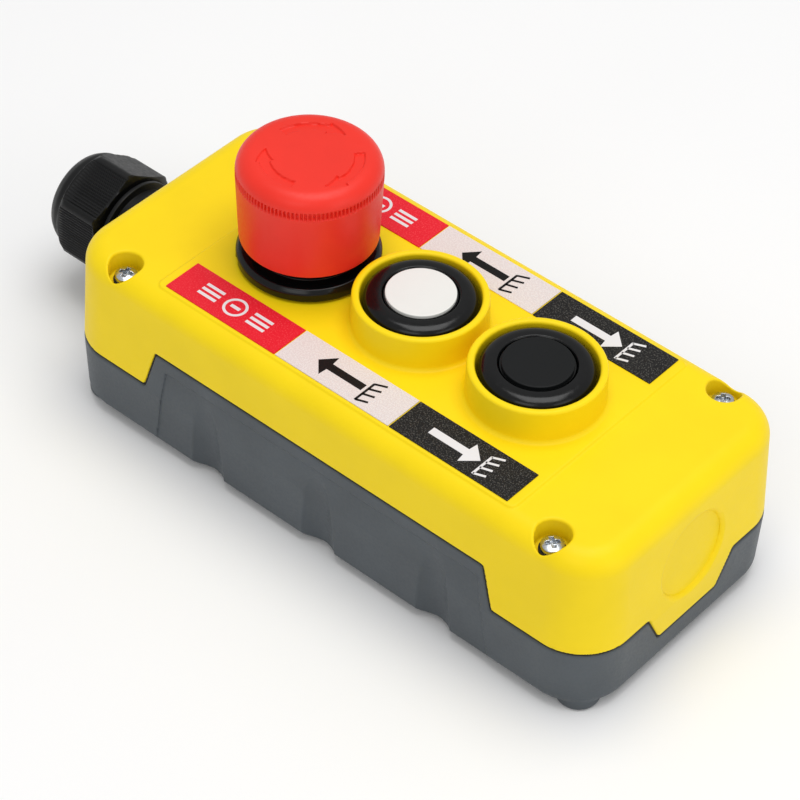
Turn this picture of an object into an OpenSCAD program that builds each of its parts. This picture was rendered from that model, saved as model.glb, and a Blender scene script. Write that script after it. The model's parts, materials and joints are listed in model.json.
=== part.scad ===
// Pendant control station: a two-part hand-held case that hangs from its cable,
// with an emergency stop head and two push buttons in a row.
// Millimetres. +Z points out of the front cover, +X runs from the cable end to the far end.
// The origin is under the middle of the overall box, on the plane that the rear feet rest on.

/* [Case] */
// Length of the case without the cable gland
case_length = 190; // [176:1:210]
// Width of the case at its widest, just under the seam
case_width = 85.5; // [80:0.5:92]
// Height of the label pad above the plane of the feet
panel_height = 55.5; // [52:0.5:60]
// Wall thickness of both halves
wall = 3; // [2:0.5:4]
// Radius of the upright corners
corner_radius = 16; // [13:0.5:20]
// Rounding of the front edges
front_round = 6.3; // [4:0.1:9]
// Rounding of the rear edges
rear_round = 3.6; // [2:0.1:6]
// Draft of the cover's sides, in mm of inset for each mm of height
side_draft = 0.052; // [0.02:0.002:0.08]
// Height of the raised pad that carries the labels
pad_rise = 0.5; // [0.3:0.1:1]
// Height of the four rear feet
foot_height = 1.8; // [0.6:0.1:2.5]

/* [Seam] */
// Height of the seam near the ends of the long sides
seam_height = 22; // [18:0.5:25]
// Height of the seam over the middle of the long sides
tongue_height = 35.5; // [28:0.5:38]
// Lowest point of the cover on the two end walls
tab_height = 11.3; // [9:0.1:12]
// Gap between the halves that the gasket fills
gasket_gap = 0.6; // [0.5:0.1:1.2]

/* [Heads] */
// Distance between neighbouring heads
head_pitch = 40; // [40:1:44]
// Radius of the panel holes
panel_hole_r = 11.15; // [11.1:0.05:11.2]
// Outer radius of the button bezels
bezel_r = 15.4; // [14:0.05:15.6]
// Radius of the coloured button discs
disc_r = 9.65; // [9:0.05:9.8]
// Height of the coloured button discs above the panel
disc_rise = 11.2; // [11:0.1:12.5]
// Outer radius of the guard collars
guard_r = 18.5; // [18:0.25:19]
// Inner radius of the guard collars
guard_bore_r = 16.35; // [16:0.05:17]
// Height of the guard collars above the panel
guard_rise = 10.4; // [8:0.1:11]
// Press travel of every head
press_travel = 4; // [3:0.5:4]

/* [Emergency stop] */
// Radius of the mushroom at its top
mushroom_r = 20; // [19:0.5:21]
// Height of the mushroom's top above the panel
mushroom_rise = 35.8; // [32:0.1:38]
// Height of the mushroom's skirt above the panel
skirt_rise = 8.8; // [8.8:0.1:9.5]
// Radius of the base ring
base_ring_r = 20; // [19:0.05:20]
// Height of the base ring's top above the panel
base_ring_rise = 4.5; // [4:0.1:4.5]

/* [Screws and labels] */
// Half the distance between screws along the case
screw_x = 75; // [73:0.5:76]
// Half the distance between screws across the case
screw_y = 35.5; // [33:0.5:37]
// Radius of the screw wells
well_r = 4.8; // [4.5:0.1:5]
// Depth of the screw wells below the pad
well_depth = 6.9; // [6:0.1:11]
// Length of one label plate
label_length = 39.6; // [36:0.1:39.8]
// Width of one label plate
label_width = 12.5; // [10:0.1:13]
// Distance of the label plates' centre lines from the middle
label_y = 29.2; // [28:0.1:30]

/* [Cable gland] */
// Height of the gland's axis above the plane of the feet
gland_z = 26.5; // [25:0.5:28]
// Distance from the end wall to the tip of the gland cap
gland_reach = 35.5; // [32:0.5:38]
// Width across the flats of the gland's hexagons
gland_flats = 30.5; // [28:0.5:32]
// Radius of the cable passage through the rubber seal
cable_r = 6; // [4:0.5:6.5]
// Height of the blank knock-out's centre on the far end wall
knockout_z = 33; // [28:0.5:34]
// Radius of the blank knock-out
knockout_r = 13.3; // [10:0.1:13.5]

/* [Hidden] */
$fn = 64;

// Colours
yellow = "#F5D914";
case_grey = "#50585C";
rubber_black = "#1B1C1E";
gloss_black = "#17181A";
stop_red = "#E23628";
label_red = "#E8202C";
off_white = "#EFEDE8";
brass = "#C9A44A";
zinc = "#C9CCD0";
steel = "#A7ABB0";

// The case sits off the origin by half the gland's reach, so that the origin is mid-box.
case_x = gland_reach / 2;
half_length = case_length / 2;
half_width = case_width / 2;
skin_top = panel_height - pad_rise;
ceiling = panel_height - wall;
rear_taper = 0.6;
widest_z = seam_height - 1;
top_inset = side_draft * (skin_top - front_round - widest_z);
floor_z = foot_height + 2.6;
stop_x = -head_pitch;
raise_x = 0;
lower_x = head_pitch;

// Seam outline: the slanted flanks of the tongue and of the end tabs
tongue_top_x = 58;
tongue_foot_x = 62;
tab_top_y = 18.2;
tab_foot_y = 12.5;
tongue_shift = 0.74;
tab_shift = 0.62;

// Screws: radius of the thread, of its clearance holes, and the floor of the wells
screw_r = 1.75;
clearance_r = 2.2;
well_floor = panel_height - well_depth;
washer_thickness = 0.8;

// Gland: levels along its axis, measured from the end wall
thread_r = 12.5;
flange_bottom = 1;
flange_top = 6;
neck_top = 13.3;
cap_bottom = 14;
cap_bore_r = 11.4;
cap_turn = 2.5;
seal_r = 9.6;
seal_bottom = 12;
seal_top_z = 28;

// Heads: levels measured from the plane of the feet
gasket_thickness = 0.5;
head_seat = panel_height + gasket_thickness;
barrel_r = 11;
barrel_bottom = panel_height - 14;
nut_thickness = 4;
collar_bottom = panel_height - 20;
block_bottom = collar_bottom - 22;
travel_gap = 0.1;
rod_bottom = collar_bottom + press_travel + travel_gap;
running_fit = 0.05;
rod_r = 4;
touch_gap = 0.05;

// Spring wire
wire_sides = 6;
ring_count_per_turn = 12;

module in_case() {
  translate([case_x, 0, 0]) children();
}

module at_head(x) {
  in_case() translate([x, 0, 0]) children();
}

// At the four corners of a rectangle, given half its length and half its width
module at_corners(half_x, half_y) {
  for (sx = [-1, 1], sy = [-1, 1]) translate([sx * half_x, sy * half_y, 0]) children();
}

module at_screws() {
  at_corners(screw_x, screw_y) children();
}

module tube(outer_r, inner_r, bottom, top) {
  difference() {
    translate([0, 0, bottom]) cylinder(r = outer_r, h = top - bottom);
    translate([0, 0, bottom - 1]) cylinder(r = inner_r, h = top - bottom + 2);
  }
}

// Points of a quarter arc, for half sections
function arc(cx, cy, r, from, to, steps = 6) =
  [for (i = [0:steps]) let (a = from + (to - from) * i / steps) [cx + r * cos(a), cy + r * sin(a)]];

// Half section of one rounded corner of the case, shrunk by inset and cut at a floor and a ceiling
module corner_section(inset, bottom, top) {
  r = corner_radius - inset;
  polygon(concat(
    [[0, bottom]],
    arc(r - rear_taper - rear_round, bottom + rear_round, rear_round, -90, 0),
    [[r, widest_z]],
    arc(r - top_inset - front_round + inset, top - front_round + inset, front_round - inset,
        0, 90),
    [[0, top]]
  ));
}

// Whole outer or inner form of the case as one rounded block
module case_form(inset, bottom, top) {
  dx = half_length - corner_radius;
  dy = half_width - corner_radius;
  hull() at_corners(dx, dy) rotate_extrude($fn = 40) corner_section(inset, bottom, top);
}

// Round land on the gland's end wall: it stands upright on the leaning wall, inside and outside
module gland_land(r, from, to) {
  translate([-half_length, 0, gland_z]) rotate([0, 90, 0]) translate([0, 0, from])
    cylinder(r = r, h = to - from);
}

module outer_form() {
  case_form(0, foot_height, skin_top);
  gland_land(16.5, 0, wall);
}

module cavity_form() {
  case_form(wall, floor_z, ceiling);
  gland_land(18, wall, 2 * wall);
}

// Everything above the seam, moved into the cover's side by gap
module above_seam(gap) {
  low = seam_height + gap;
  high = tongue_height + gap;
  foot_x = tongue_foot_x + tongue_shift * gap;
  top_x = tongue_top_x + tongue_shift * gap;
  far = case_length;
  rotate([90, 0, 0]) linear_extrude(case_width + 20, center = true)
    polygon([[-far, 2 * far], [-far, low], [-foot_x, low], [-top_x, high],
             [top_x, high], [foot_x, low], [far, low], [far, 2 * far]]);
  tab_top = tab_top_y - tab_shift * gap;
  tab_foot = tab_foot_y - tab_shift * gap;
  for (sx = [-1, 1]) translate([sx * half_length, 0, 0]) rotate([90, 0, 90])
    linear_extrude(2 * wall + 4, center = true)
      polygon([[-tab_top, low], [-tab_foot, tab_height + gap],
               [tab_foot, tab_height + gap], [tab_top, low], [tab_top, low + 5],
               [-tab_top, low + 5]]);
}

// Raised pad under the labels
module label_pad() {
  pad_x = 62.5;
  pad_y = 36.4;
  translate([-pad_x, -pad_y, ceiling]) cube([2 * pad_x, 2 * pad_y, wall]);
}

module front_cover() {
  boss_r = 6;
  knockout_depth = 0.9;
  knockout_x = half_length - side_draft * (knockout_z - widest_z);
  color(yellow) in_case() difference() {
    union() {
      intersection() {
        difference() {
          union() {
            outer_form();
            intersection() {
              label_pad();
              translate([0, 0, pad_rise]) outer_form();
            }
          }
          cavity_form();
        }
        above_seam(gasket_gap);
      }
      // Screw bosses, kept inside the outer form
      intersection() {
        at_screws() tube(boss_r, clearance_r, seam_height + gasket_gap, well_floor + 4);
        outer_form();
      }
      for (x = [raise_x, lower_x]) translate([x, 0, 0])
        tube(guard_r, guard_bore_r, panel_height - 1, panel_height + guard_rise);
    }
    for (x = [stop_x, raise_x, lower_x]) translate([x, 0, ceiling - 5])
      cylinder(r = panel_hole_r, h = 20);
    at_screws() translate([0, 0, well_floor]) cylinder(r = well_r, h = 20);
    at_screws() cylinder(r = clearance_r, h = panel_height);
    translate([-half_length - 5, 0, gland_z]) rotate([0, 90, 0])
      cylinder(r = thread_r + 0.2, h = 20);
    translate([knockout_x - knockout_depth, 0, knockout_z])
      rotate([0, 90 - atan(side_draft), 0]) cylinder(r = knockout_r, h = 5);
  }
}

// Grip flutes of the rear half, made larger all round by margin
module grip_flutes(margin) {
  flute_r = 8;
  flute_pitch = 41;
  flute_depth = 3.7;
  flute_tilt = 6.5;
  flute_shift = 1.5;
  flute_y = half_width - rear_taper - flute_depth + flute_r;
  for (i = [-1:1], sy = [-1, 1])
    translate([i * flute_pitch + flute_shift, sy * flute_y, 0])
      rotate([-sy * flute_tilt, 0, 0]) translate([0, 0, -10])
        cylinder(r = flute_r + margin, h = 60);
}

module corner_feet() {
  foot_r = 6;
  foot_inset = 9.5;
  at_corners(half_length - foot_inset, half_width - foot_inset)
    cylinder(r = foot_r, h = foot_height + 1);
}

module rear_case() {
  pillar_r = 4.6;
  flute_wall = 2.4;
  color(case_grey) in_case() difference() {
    union() {
      difference() {
        outer_form();
        difference() {
          cavity_form();
          grip_flutes(flute_wall);
        }
        above_seam(0);
        grip_flutes(0);
      }
      corner_feet();
      intersection() {
        at_screws() translate([0, 0, foot_height + 1])
          cylinder(r = pillar_r, h = seam_height - foot_height - 1);
        outer_form();
      }
    }
    at_screws() translate([0, 0, floor_z + 1]) cylinder(r = screw_r, h = 40);
  }
}

// One continuous ring in the seam, set back from the outer faces, with an eye round each screw
module case_gasket() {
  eye_r = 4.6;
  set_back = 0.5;
  color(rubber_black) in_case() difference() {
    intersection() {
      union() {
        difference() {
          above_seam(0);
          cavity_form();
          above_seam(gasket_gap);
        }
        at_screws() translate([0, 0, seam_height]) cylinder(r = eye_r, h = gasket_gap);
      }
      case_form(set_back, foot_height, skin_top);
    }
    at_screws() cylinder(r = clearance_r, h = 40);
  }
}

// Cover screws: pan heads with a cross recess, seated on sealing washers
module cover_screws() {
  head_r = 3.2;
  head_side = 1.6;
  head_top = 0.8;
  recess_length = 3.8;
  recess_width = 0.7;
  seat = well_floor + washer_thickness;
  tip = floor_z + 3;
  color(zinc) in_case() at_screws() difference() {
    union() {
      translate([0, 0, seat]) cylinder(r = head_r, h = head_side);
      translate([0, 0, seat + head_side]) cylinder(r1 = head_r, r2 = head_r - 0.9, h = head_top);
      translate([0, 0, tip]) cylinder(r = screw_r, h = seat - tip);
    }
    for (a = [0, 90]) rotate([0, 0, a])
      translate([-recess_length / 2, -recess_width / 2, seat + 0.9])
        cube([recess_length, recess_width, 5]);
  }
}

module cover_screw_washers() {
  color(rubber_black) in_case() at_screws()
    tube(3.6, screw_r + 0.05, well_floor, well_floor + washer_thickness);
}

// Label plates, one on each side of a head
module label_pair(x) {
  thickness = 0.3;
  at_head(x) for (sy = [-1, 1]) translate([0, sy * label_y, panel_height + thickness / 2])
    cube([label_length, label_width, thickness], center = true);
}

module stop_labels() { color(label_red) label_pair(stop_x); }
module raise_labels() { color(off_white) label_pair(raise_x); }
module lower_labels() { color(gloss_black) label_pair(lower_x); }

// Cable gland, drawn along +Z and laid along -X so that its origin is the end wall's face
module along_gland() {
  in_case() translate([-half_length, 0, gland_z]) rotate([0, -90, 0]) children();
}

module hexagon(flats, h) {
  cylinder(r = flats / 2 / cos(30), h = h, $fn = 6);
}

module gland_body() {
  thread_length = 14;
  passage_r = 8;
  claw_top = 26;
  color(rubber_black) along_gland() difference() {
    union() {
      translate([0, 0, -thread_length]) cylinder(r = thread_r, h = thread_length + neck_top);
      translate([0, 0, flange_bottom]) rotate([0, 0, cap_turn])
        hexagon(gland_flats, flange_top - flange_bottom);
      cylinder(r = cap_bore_r, h = claw_top);
    }
    translate([0, 0, -20]) cylinder(r = passage_r, h = 60);
    translate([0, 0, seal_bottom]) cylinder(r = seal_r, h = 30);
  }
}

module gland_washer() {
  color(rubber_black) along_gland() tube(14, thread_r, 0, flange_bottom);
}

module gland_seal() {
  color("#3A3C3E") along_gland() tube(seal_r, cable_r, seal_bottom, seal_top_z);
}

module gland_cap() {
  tip = gland_reach;
  shoulder = tip - 8;
  tip_r = 14.4;
  dome_round = 5;
  mouth_r = cable_r + 1;
  color(rubber_black) along_gland() difference() {
    intersection() {
      rotate([0, 0, cap_turn]) translate([0, 0, cap_bottom])
        hexagon(gland_flats, tip - cap_bottom);
      rotate_extrude() polygon(concat(
        [[0, cap_bottom], [gland_flats, cap_bottom], [gland_flats, shoulder - 6]],
        [[gland_flats / 2 + 2.2, shoulder], [tip_r, shoulder + 1.5]],
        arc(tip_r - dome_round, tip - dome_round, dome_round, 0, 90),
        [[0, tip]]));
    }
    cylinder(r = cap_bore_r, h = seal_top_z);
    cylinder(r = mouth_r, h = 60);
  }
}

module gland_locknut() {
  nut_h = 5;
  color(rubber_black) along_gland() translate([0, 0, -wall - nut_h]) difference() {
    hexagon(30, nut_h);
    translate([0, 0, -1]) cylinder(r = thread_r, h = nut_h + 2);
  }
}

// Shared pieces of the three heads
module panel_gasket(outer_r) {
  tube(outer_r, panel_hole_r, panel_height, head_seat);
}

module panel_nut() {
  nut_r = 15;
  notch_r = 1.5;
  difference() {
    tube(nut_r, barrel_r, ceiling - nut_thickness, ceiling);
    for (a = [0:45:315]) rotate([0, 0, a]) translate([nut_r, 0, ceiling - nut_thickness - 1])
      cylinder(r = notch_r, h = nut_thickness + 2);
  }
}

module mounting_collar() {
  top = ceiling - nut_thickness - 0.5;
  difference() {
    translate([-14, -15, collar_bottom]) cube([28, 30, top - collar_bottom]);
    translate([0, 0, barrel_bottom]) cylinder(r = barrel_r + running_fit, h = 20);
    translate([0, 0, collar_bottom - 1]) cylinder(r = 8, h = 20);
    for (sy = [-1, 1]) translate([-20, sy * 15 - 2, collar_bottom + 4]) cube([40, 4, 4]);
  }
}

// Contact block: outer box, a chamber for the moving bridge and a guide for its plunger
chamber_bottom = block_bottom + 3;
chamber_top = collar_bottom - 4;
block_half_x = 9;
block_half_y = 17;
guide_r = 2.5;
terminal_y = 13.5;
terminal_screw_r = 1.75;
strip_width = 6;
strip_start = 3.5;
bridge_width = 3.2;
bridge_thickness = 0.8;

module block_box() {
  translate([-block_half_x, -block_half_y, block_bottom])
    cube([2 * block_half_x, 2 * block_half_y, collar_bottom - block_bottom]);
}

module contact_block(fixed_z) {
  difference() {
    block_box();
    translate([-5, -10, chamber_bottom]) cube([10, 20, chamber_top - chamber_bottom]);
    translate([0, 0, chamber_top - 1]) cylinder(r = guide_r + running_fit, h = 10);
    terminal_strips(fixed_z);
    for (sy = [-1, 1]) translate([0, sy * terminal_y, block_bottom - 1])
      cylinder(r = 2.6, h = fixed_z - block_bottom + 1);
    for (sy = [-1, 1]) translate([0, sy * terminal_y, fixed_z + 1])
      cylinder(r = terminal_screw_r, h = 3);
  }
}

// Fixed contact strips: each runs from its terminal screw into the chamber
module terminal_strips(fixed_z) {
  for (sy = [-1, 1])
    translate([-strip_width / 2, sy > 0 ? strip_start : -block_half_y, fixed_z])
      cube([strip_width, block_half_y - strip_start, 1]);
}

module terminals(fixed_z) {
  difference() {
    terminal_strips(fixed_z);
    for (sy = [-1, 1]) translate([0, sy * terminal_y, fixed_z - 1])
      cylinder(r = terminal_screw_r, h = 3);
  }
}

module terminal_screws(fixed_z) {
  for (sy = [-1, 1]) translate([0, sy * terminal_y, 0]) difference() {
    union() {
      translate([0, 0, fixed_z - 2]) cylinder(r = 2.5, h = 2);
      translate([0, 0, fixed_z - 0.1]) cylinder(r = terminal_screw_r, h = 4.1);
    }
    translate([-3, -0.35, fixed_z - 2.1]) cube([6, 0.7, 1]);
  }
}

// The plunger ends in a stirrup slot that holds the bridge
module contact_plunger(bridge_z) {
  difference() {
    translate([0, 0, bridge_z - 1.5]) cylinder(r = guide_r, h = rod_bottom - bridge_z + 1.5);
    translate([-bridge_width / 2, -5, bridge_z]) cube([bridge_width, 10, bridge_thickness]);
  }
}

module contact_bridge(bridge_z, tip_side) {
  tip_height = 0.6;
  tip_z = tip_side > 0 ? bridge_z + bridge_thickness : bridge_z - tip_height;
  translate([-bridge_width / 2, -8, bridge_z]) cube([bridge_width, 16, bridge_thickness]);
  for (sy = [-1, 1]) translate([0, sy * 6, tip_z]) cylinder(r = 1.4, h = tip_height);
}

// Coil spring: wire rings swept along a helix with flat closed ends
module coil_spring(turns, coil_r, wire_r, bottom, top) {
  low = bottom + wire_r;
  high = top - wire_r;
  rings = turns * ring_count_per_turn;
  points = [for (i = [0:rings], k = [0:wire_sides - 1])
    let (t = i / rings, turn = 360 * turns * t, a = 360 * k / wire_sides,
         r = coil_r + wire_r * cos(a))
    [r * cos(turn), r * sin(turn), low + (high - low) * t + wire_r * sin(a)]];
  sides = [for (i = [0:rings - 1], k = [0:wire_sides - 1])
    let (n = (k + 1) % wire_sides, a = i * wire_sides, b = a + wire_sides)
    [a + k, b + k, b + n, a + n]];
  start_cap = [[for (k = [0:wire_sides - 1]) k]];
  end_cap = [[for (k = [wire_sides - 1:-1:0]) rings * wire_sides + k]];
  polyhedron(points, concat(sides, start_cap, end_cap), convexity = 8);
}

// Emergency stop head
hub_r = 6.5;
sleeve_r = 7;
latch_bore_r = 7.7;
mushroom_top = panel_height + mushroom_rise;
skirt_z = panel_height + skirt_rise;
roof_z = mushroom_top - 7;
ring_top = panel_height + base_ring_rise;
shelf_top = panel_height - 7;
shelf_bottom = panel_height - 10;
neck_r = 15.2;
neck_z = panel_height + 20;
spring_well_r = 12;

module estop_mushroom() {
  top_round = 5;
  skirt_r = mushroom_r - 1;
  color(stop_red) at_head(stop_x) difference() {
    rotate_extrude($fn = 96) polygon(concat(
      [[0, roof_z], [skirt_r - 3, roof_z], [skirt_r - 3, skirt_z + 0.5],
       [skirt_r - 2.5, skirt_z], [skirt_r - 0.5, skirt_z], [skirt_r, skirt_z + 0.5]],
      arc(mushroom_r - top_round, mushroom_top - top_round, top_round, 0, 90, 8),
      [[0, mushroom_top]]));
    translate([0, 0, roof_z - 1]) cylinder(r = rod_r + running_fit, h = 4);
  }
}

module estop_latch_sleeve() {
  bottom = shelf_top + press_travel + 1;
  color(gloss_black) at_head(stop_x) difference() {
    union() {
      translate([0, 0, bottom]) cylinder(r = sleeve_r, h = roof_z - bottom);
      for (a = [0, 180]) rotate([0, 0, a])
        translate([sleeve_r - 1, -1.2, roof_z - 8]) cube([2, 2.4, 8]);
    }
    translate([0, 0, bottom - 1]) cylinder(r = rod_r + running_fit, h = 60);
  }
}

module estop_stem() {
  color(off_white) at_head(stop_x)
    translate([0, 0, rod_bottom]) cylinder(r = rod_r, h = roof_z + 2.9 - rod_bottom);
}

module retaining_clip(shelf_z) {
  tube(6, rod_r, shelf_z - 1.1, shelf_z - 0.1);
}

module estop_retaining_clip() {
  color(steel) at_head(stop_x) retaining_clip(shelf_bottom);
}

module estop_bezel() {
  color(gloss_black) at_head(stop_x) difference() {
    rotate_extrude($fn = 96) polygon([
      [rod_r + running_fit, shelf_bottom], [8, shelf_bottom], [8, barrel_bottom],
      [barrel_r, barrel_bottom], [barrel_r, head_seat], [base_ring_r, head_seat],
      [base_ring_r, ring_top - 0.8], [base_ring_r - 0.8, ring_top],
      [neck_r, ring_top], [neck_r, neck_z], [spring_well_r, neck_z], [spring_well_r, ring_top],
      [latch_bore_r, ring_top], [latch_bore_r, shelf_top], [rod_r + running_fit, shelf_top]]);
    for (a = [52, 232]) rotate([0, 0, a])
      translate([base_ring_r - 1.2, -2, head_seat + 1]) cube([5, 4, 10]);
  }
}

module estop_panel_gasket() { color(rubber_black) at_head(stop_x) panel_gasket(18); }
module estop_panel_nut() { color(gloss_black) at_head(stop_x) panel_nut(); }

module estop_return_spring() {
  color(steel) at_head(stop_x) coil_spring(7, 10.5, 0.6, ring_top + 0.1, roof_z - 0.1);
}

module estop_mounting_collar() { color(gloss_black) at_head(stop_x) mounting_collar(); }

// Normally closed: the bridge rests under the fixed strips and moves away from them
stop_bridge_z = block_bottom + 12;
stop_fixed_z = stop_bridge_z + bridge_thickness + 0.6 + touch_gap;

module estop_contact_block() { color(off_white) at_head(stop_x) contact_block(stop_fixed_z); }
module estop_contact_plunger() { color("#D8D4C8") at_head(stop_x) contact_plunger(stop_bridge_z); }
module estop_contact_bridge() { color(brass) at_head(stop_x) contact_bridge(stop_bridge_z, 1); }
module estop_terminals() { color(brass) at_head(stop_x) terminals(stop_fixed_z); }
module estop_terminal_screws() { color(zinc) at_head(stop_x) terminal_screws(stop_fixed_z); }

// Push button head
button_bore_r = 10.3;
carrier_r = 10;
disc_top = panel_height + disc_rise;
carrier_top = disc_top - 1;
carrier_bottom = disc_top - 4.6;
button_shelf_top = panel_height - 6;
button_shelf_bottom = panel_height - 8;
seal_top = button_shelf_top + 1.5;
bezel_top = disc_top - 0.4;

module button_bezel() {
  rotate_extrude($fn = 96) polygon(concat(
    [[rod_r + 0.3, button_shelf_bottom], [8.5, button_shelf_bottom], [8.5, barrel_bottom],
     [barrel_r, barrel_bottom], [barrel_r, head_seat], [bezel_r, head_seat]],
    arc(bezel_r - 3.6, bezel_top - 3.6, 3.6, 0, 90, 8),
    [[button_bore_r, bezel_top], [button_bore_r, panel_height + 2], [8.5, panel_height + 2],
     [8.5, button_shelf_top], [rod_r + 0.3, button_shelf_top]]));
}

module button_cap() {
  translate([0, 0, carrier_top]) cylinder(r = disc_r, h = disc_top - carrier_top);
}

module button_plunger() {
  translate([0, 0, carrier_bottom]) cylinder(r = carrier_r, h = carrier_top - carrier_bottom);
  translate([0, 0, rod_bottom]) cylinder(r = rod_r, h = carrier_bottom - rod_bottom + 0.5);
}

module button_seal() {
  tube(8.5, rod_r + running_fit, button_shelf_top, seal_top);
}

module button_spring() {
  coil_spring(5, 6.5, 0.5, seal_top + 0.1, carrier_bottom - 0.1);
}

// Normally open: the bridge hangs above the fixed strips and closes at full travel
open_bridge_z = block_bottom + 12.5;
open_fixed_z = open_bridge_z - 0.6 - press_travel - 1 - 0.3;

module raise_bezel() { color(gloss_black) at_head(raise_x) button_bezel(); }
module raise_cap() { color(off_white) at_head(raise_x) button_cap(); }
module raise_plunger() { color(gloss_black) at_head(raise_x) button_plunger(); }
module raise_retaining_clip() {
  color(steel) at_head(raise_x) retaining_clip(button_shelf_bottom);
}
module raise_seal() { color(rubber_black) at_head(raise_x) button_seal(); }
module raise_return_spring() { color(steel) at_head(raise_x) button_spring(); }
module raise_panel_gasket() { color(rubber_black) at_head(raise_x) panel_gasket(14); }
module raise_panel_nut() { color(gloss_black) at_head(raise_x) panel_nut(); }
module raise_mounting_collar() { color(gloss_black) at_head(raise_x) mounting_collar(); }
module raise_contact_block() { color(off_white) at_head(raise_x) contact_block(open_fixed_z); }
module raise_contact_plunger() { color("#4FA35B") at_head(raise_x) contact_plunger(open_bridge_z); }
module raise_contact_bridge() { color(brass) at_head(raise_x) contact_bridge(open_bridge_z, -1); }
module raise_terminals() { color(brass) at_head(raise_x) terminals(open_fixed_z); }
module raise_terminal_screws() { color(zinc) at_head(raise_x) terminal_screws(open_fixed_z); }

module lower_bezel() { color(gloss_black) at_head(lower_x) button_bezel(); }
module lower_cap() { color(gloss_black) at_head(lower_x) button_cap(); }
module lower_plunger() { color(gloss_black) at_head(lower_x) button_plunger(); }
module lower_retaining_clip() {
  color(steel) at_head(lower_x) retaining_clip(button_shelf_bottom);
}
module lower_seal() { color(rubber_black) at_head(lower_x) button_seal(); }
module lower_return_spring() { color(steel) at_head(lower_x) button_spring(); }
module lower_panel_gasket() { color(rubber_black) at_head(lower_x) panel_gasket(14); }
module lower_panel_nut() { color(gloss_black) at_head(lower_x) panel_nut(); }
module lower_mounting_collar() { color(gloss_black) at_head(lower_x) mounting_collar(); }
module lower_contact_block() { color(off_white) at_head(lower_x) contact_block(open_fixed_z); }
module lower_contact_plunger() { color("#4FA35B") at_head(lower_x) contact_plunger(open_bridge_z); }
module lower_contact_bridge() { color(brass) at_head(lower_x) contact_bridge(open_bridge_z, -1); }
module lower_terminals() { color(brass) at_head(lower_x) terminals(open_fixed_z); }
module lower_terminal_screws() { color(zinc) at_head(lower_x) terminal_screws(open_fixed_z); }

front_cover();
rear_case();
case_gasket();
cover_screws();
cover_screw_washers();
stop_labels();
raise_labels();
lower_labels();
gland_body();
gland_washer();
gland_seal();
gland_cap();
gland_locknut();
estop_mushroom();
estop_latch_sleeve();
estop_stem();
estop_retaining_clip();
estop_bezel();
estop_panel_gasket();
estop_panel_nut();
estop_return_spring();
estop_mounting_collar();
estop_contact_block();
estop_contact_plunger();
estop_contact_bridge();
estop_terminals();
estop_terminal_screws();
raise_bezel();
raise_cap();
raise_plunger();
raise_retaining_clip();
raise_seal();
raise_return_spring();
raise_panel_gasket();
raise_panel_nut();
raise_mounting_collar();
raise_contact_block();
raise_contact_plunger();
raise_contact_bridge();
raise_terminals();
raise_terminal_screws();
lower_bezel();
lower_cap();
lower_plunger();
lower_retaining_clip();
lower_seal();
lower_return_spring();
lower_panel_gasket();
lower_panel_nut();
lower_mounting_collar();
lower_contact_block();
lower_contact_plunger();
lower_contact_bridge();
lower_terminals();
lower_terminal_screws();
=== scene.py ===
"""Looks for the pendant control station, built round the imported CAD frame.

Shapes are made in millimetres in the part's frame and scaled to metres when a mesh is made.
The two case halves and the cover screws are implicit solids turned into meshes. The rings, discs,
stop head and gland are lathed, and the return springs are swept coils.
"""
import json
import math

import bpy
import numpy as np
from mathutils import Matrix, Vector


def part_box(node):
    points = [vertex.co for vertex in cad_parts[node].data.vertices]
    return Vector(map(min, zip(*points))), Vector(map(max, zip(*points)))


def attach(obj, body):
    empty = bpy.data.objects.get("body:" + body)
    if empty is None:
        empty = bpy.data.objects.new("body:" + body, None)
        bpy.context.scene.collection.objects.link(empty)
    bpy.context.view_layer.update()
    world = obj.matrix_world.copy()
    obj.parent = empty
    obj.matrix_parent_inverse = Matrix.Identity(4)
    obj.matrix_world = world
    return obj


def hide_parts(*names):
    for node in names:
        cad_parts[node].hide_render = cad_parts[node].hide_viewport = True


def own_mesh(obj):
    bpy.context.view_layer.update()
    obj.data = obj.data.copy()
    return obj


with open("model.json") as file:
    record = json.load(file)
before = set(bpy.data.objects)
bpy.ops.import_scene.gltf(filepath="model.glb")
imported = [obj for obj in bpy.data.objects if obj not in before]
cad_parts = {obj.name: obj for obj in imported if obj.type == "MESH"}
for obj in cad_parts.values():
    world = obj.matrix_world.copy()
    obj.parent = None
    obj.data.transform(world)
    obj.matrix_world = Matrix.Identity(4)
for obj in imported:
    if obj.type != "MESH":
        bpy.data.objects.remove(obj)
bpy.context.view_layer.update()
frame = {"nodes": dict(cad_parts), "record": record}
nodes = frame["nodes"]

MM = 0.001


def box_mm(node):
    low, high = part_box(node)
    return np.array(low) / MM, np.array(high) / MM


# Levels and centres that come from the frame
rear_low, rear_high = box_mm("rear_case")
CASE_X = (rear_low[0] + rear_high[0]) / 2
HALF_X = (rear_high[0] - rear_low[0]) / 2
HALF_Y = (rear_high[1] - rear_low[1]) / 2
PANEL = box_mm("stop_labels")[0][2]
STOP_X, RAISE_X, LOWER_X = (
    sum(b[0] for b in box_mm(n)) / 2 for n in ("stop_labels", "raise_labels", "lower_labels")
)
HEADS = (STOP_X - CASE_X, RAISE_X - CASE_X, LOWER_X - CASE_X)

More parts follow.
